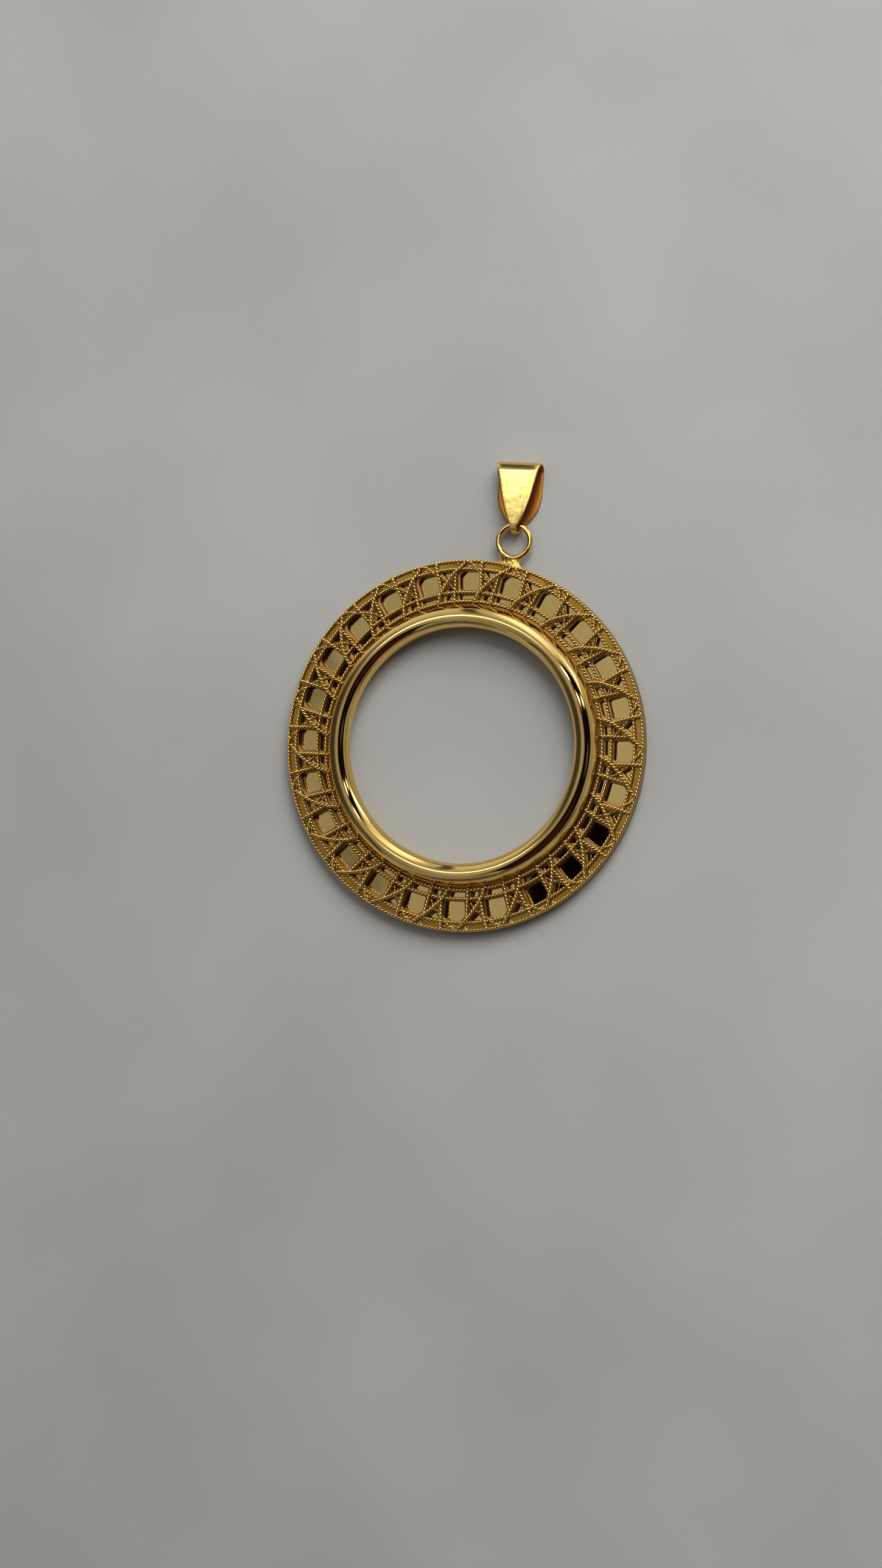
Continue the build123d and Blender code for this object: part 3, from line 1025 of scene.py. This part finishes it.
# What surrounds the pendant, as soft patches on the sky seen from it, in rows of (degrees from
# straight up to the picture's right and to its top), (half width, half height), turn, softness of
# the edge, brightness and warmth. The dark ones are round the camera, so the polished gold shows
# them black. A later patch covers an earlier one.
PATCHES = {
    "ceiling_above": ((-16, 2), (19, 19), 0, 0.4, 0.48, 0.05),
    "upper_wall": ((0, 82), (120, 52), 0, 0.5, 0.56, 0.05),
    "upper_left_wall": ((-55, 72), (32, 34), 0, 0.6, 0.68, 0.05),
    "upper_right_wall": ((38, 75), (26, 34), 0, 0.6, 0.95, 0.05),
    "bright_window": ((62, 59), (10, 25), -15, 0.5, 3.60, 0.05),
    "middle_window": ((12, 65), (12, 30), -4, 0.6, 1.70, 0.05),
    "window_frame": ((-16, 66), (4.0, 33), 6, 0.5, 0.08, 0.05),
    "left_corner": ((-60, 3), (36, 31), 0, 0.5, 0.05, 0.05),
    "floor_left": ((-74, -58), (34, 24), 0, 0.5, 0.42, 0.05),
    "floor_shadow": ((-15, -61), (36, 14), 0, 0.6, 0.08, 0.05),
    "hanging_cable": ((-41, -23), (22, 1.6), 54, 0.5, 0.02, 0.05),
    "right_shelf": ((64, -58), (16, 12), 0, 0.6, 0.08, 0.05),
    "right_side": ((74, 8), (14, 24), 0, 0.6, 0.34, 0.05),
    "far_right_shade": ((106, 0), (13, 40), 0, 0.5, 0.09, 0.05),
    "lit_wall": ((-17.5, 12.8), (7.5, 4.6), 0, 0.2, 3.20, 0.05),
    "camera_body": ((22, -23), (34, 36), 0, 0.12, 0.005, 0.8),
    "camera_arm": ((35, 6), (31, 30), 0, 0.12, 0.005, 0.8),
    "brown_shade": ((17, -33), (18, 20), 0, 0.35, 0.036, 1.0),
    "dark_spot": ((-13.6, -1.0), (2.05, 2.05), 0, 0.08, 0.002, 0.8),
    "camera_back": ((38, -4), (7, 6), 0, 0.7, 0.09, 0.05),
    "pale_spot": ((-3, 2), (7, 6), 0, 0.5, 0.32, 0.05),
    "table_edge": ((-5, -42), (2.5, 12), 24, 0.5, 0.36, 0.05),
    "small_lamp": ((6, 17), (3.4, 1.1), 20, 0.5, 12.0, 0.05),
    "second_small_lamp": ((17, 15), (4.0, 1.2), 15, 0.5, 12.0, 0.05),
    "edge_lamp": ((43, 23), (6, 2.5), 20, 0.5, 3.0, 0.05),
    "door_above": ((-20.9, 4.5), (1.0, 1.0), 0, 0.3, 0.22, 0.05),
    "beam_above": ((-19.7, -0.5), (1.0, 1.0), 0, 0.3, 0.20, 0.05),
}


# The room's even light as linear red, green and blue, and what a warmth of 1 takes from a patch's
# green and blue
ROOM_LIGHT = (0.27, 0.265, 0.25, 1.0)
WARM_GREEN = 0.69
WARM_BLUE = 0.82


def add_room(to_frame_turn):
    """The room's light. A direction at an angle a from straight up is put on a flat chart, a
    degrees from its middle, and each patch is an ellipse on that chart with a soft edge."""
    world = bpy.data.worlds.new("studio_room")
    bpy.context.scene.world = world
    world.use_nodes = True
    tree = world.node_tree
    tree.nodes.clear()
    direction = node(tree, "ShaderNodeTexCoord", "Generated")
    seen = node(
        tree, "ShaderNodeVectorRotate", "Vector", {"rotation_type": "Z_AXIS"},
        Vector=direction, Angle=to_frame_turn,
    )
    height = node(tree, "ShaderNodeSeparateXYZ", "Z", Vector=seen)
    angle = node(tree, "ShaderNodeMath", "Value", {"operation": "ARCCOSINE"}, _0=height)
    degrees = node(tree, "ShaderNodeMath", "Value", {"operation": "DEGREES"}, _0=angle)
    flat = node(
        tree, "ShaderNodeVectorMath", "Vector", {"operation": "MULTIPLY"}, _0=seen, _1=(1, 1, 0)
    )
    way = node(tree, "ShaderNodeVectorMath", "Vector", {"operation": "NORMALIZE"}, _0=flat)
    chart = node(
        tree, "ShaderNodeVectorMath", "Vector", {"operation": "SCALE"}, Vector=way, Scale=degrees
    )
    light = node(tree, "ShaderNodeRGB", "Color")
    light.default_value = ROOM_LIGHT
    for centre, size, turn, softness, brightness, warmth in PATCHES.values():
        from_centre = node(
            tree, "ShaderNodeVectorMath", "Vector", {"operation": "SUBTRACT"},
            _0=chart, _1=(*centre, 0),
        )
        unturned = node(
            tree, "ShaderNodeVectorRotate", "Vector", {"rotation_type": "Z_AXIS"},
            Vector=from_centre, Angle=np.radians(-turn),
        )
        shares = node(
            tree, "ShaderNodeVectorMath", "Vector", {"operation": "DIVIDE"},
            _0=unturned, _1=(*size, 1),
        )
        out = node(tree, "ShaderNodeVectorMath", "Value", {"operation": "LENGTH"}, _0=shares)
        share = node(
            tree, "ShaderNodeMapRange", "Result", {"interpolation_type": "SMOOTHSTEP"},
            Value=out, From_Min=1 - softness, From_Max=1 + softness, To_Min=1.0, To_Max=0.0,
        )
        green, blue = (brightness * (1 - loss * warmth) for loss in (WARM_GREEN, WARM_BLUE))
        # Sockets 0, 6 and 7 are a colour mix's factor and its two colours, and 2 is its result
        light = node(
            tree, "ShaderNodeMix", 2, {"data_type": "RGBA"},
            _0=share, _6=light, _7=(brightness, green, blue, 1),
        )
    background = node(tree, "ShaderNodeBackground", "Background", Color=light, Strength=1.0)
    node(tree, "ShaderNodeOutputWorld", None, Surface=background)


# The lamps: place in mm in the picture's axes, side of the square in mm, and watts
WINDOW_PANEL = ((260.0, 420.0, 420.0), 420, 4.0)
BAND_LAMP = ((60.0, 110.0, 210.0), 200, 0.16)


def add_lamp(name, to_frame, where, side, watts):
    """A square lamp that shines at the middle of the pendant."""
    data = bpy.data.lights.new(name, "AREA")
    data.shape = "SQUARE"
    data.size = side * MM
    data.energy = watts
    lamp = bpy.data.objects.new(name, data)
    where = to_frame @ np.array(where) * MM
    back = unit(where)
    right = unit(np.cross([0.0, 0.0, 1.0], back))
    axes = np.stack([right, np.cross(back, right), back], axis=-1)
    lamp.matrix_world = Matrix.Translation(where) @ Matrix(axes.tolist()).to_4x4()
    bpy.context.scene.collection.objects.link(lamp)
    return lamp


wire_gold = twisted_gold_wire()
sheet_gold = pierced_gold_sheet()
build_bezel(polished_gold_bezel())
build_lattice(sheet_gold)
build_rim(satin_gold_channel())
build_beds(sheet_gold)
build_circles(wire_gold)
build_cell_wires(wire_gold)
build_scrolls(wire_gold)
build_ring(drawn_gold_ring())
build_solder(gold_solder())
build_bail(polished_gold_sheet())
build_floor(painted_board())

plate = frame["nodes"]["back_plate"]
plate.data.materials.clear()
plate.data.materials.append(mirror_gold_plate())

to_frame = add_camera()
add_room(-np.radians(RING_DIRECTION))

# A wide soft panel in the bright window's direction casts the soft shadow
add_lamp("window_panel", to_frame, *WINDOW_PANEL).visible_glossy = False

# A soft lamp over the pendant reaches only the rough gold and the bail, as a studio flag keeps a
# lamp off the parts polished to a mirror
band_lamp = add_lamp("band_lamp", to_frame, *BAND_LAMP)
lit = bpy.data.collections.new("pieces_under_the_band_lamp")
for piece in bpy.context.scene.objects:
    unlit = piece.name in ("bezel", "back_plate", "floor")
    if piece.type == "MESH" and not unlit and not piece.hide_render:
        lit.objects.link(piece)
band_lamp.light_linking.receiver_collection = lit

# The standard view keeps the gold's yellow in its highlights
bpy.context.scene.view_settings.view_transform = "Standard"
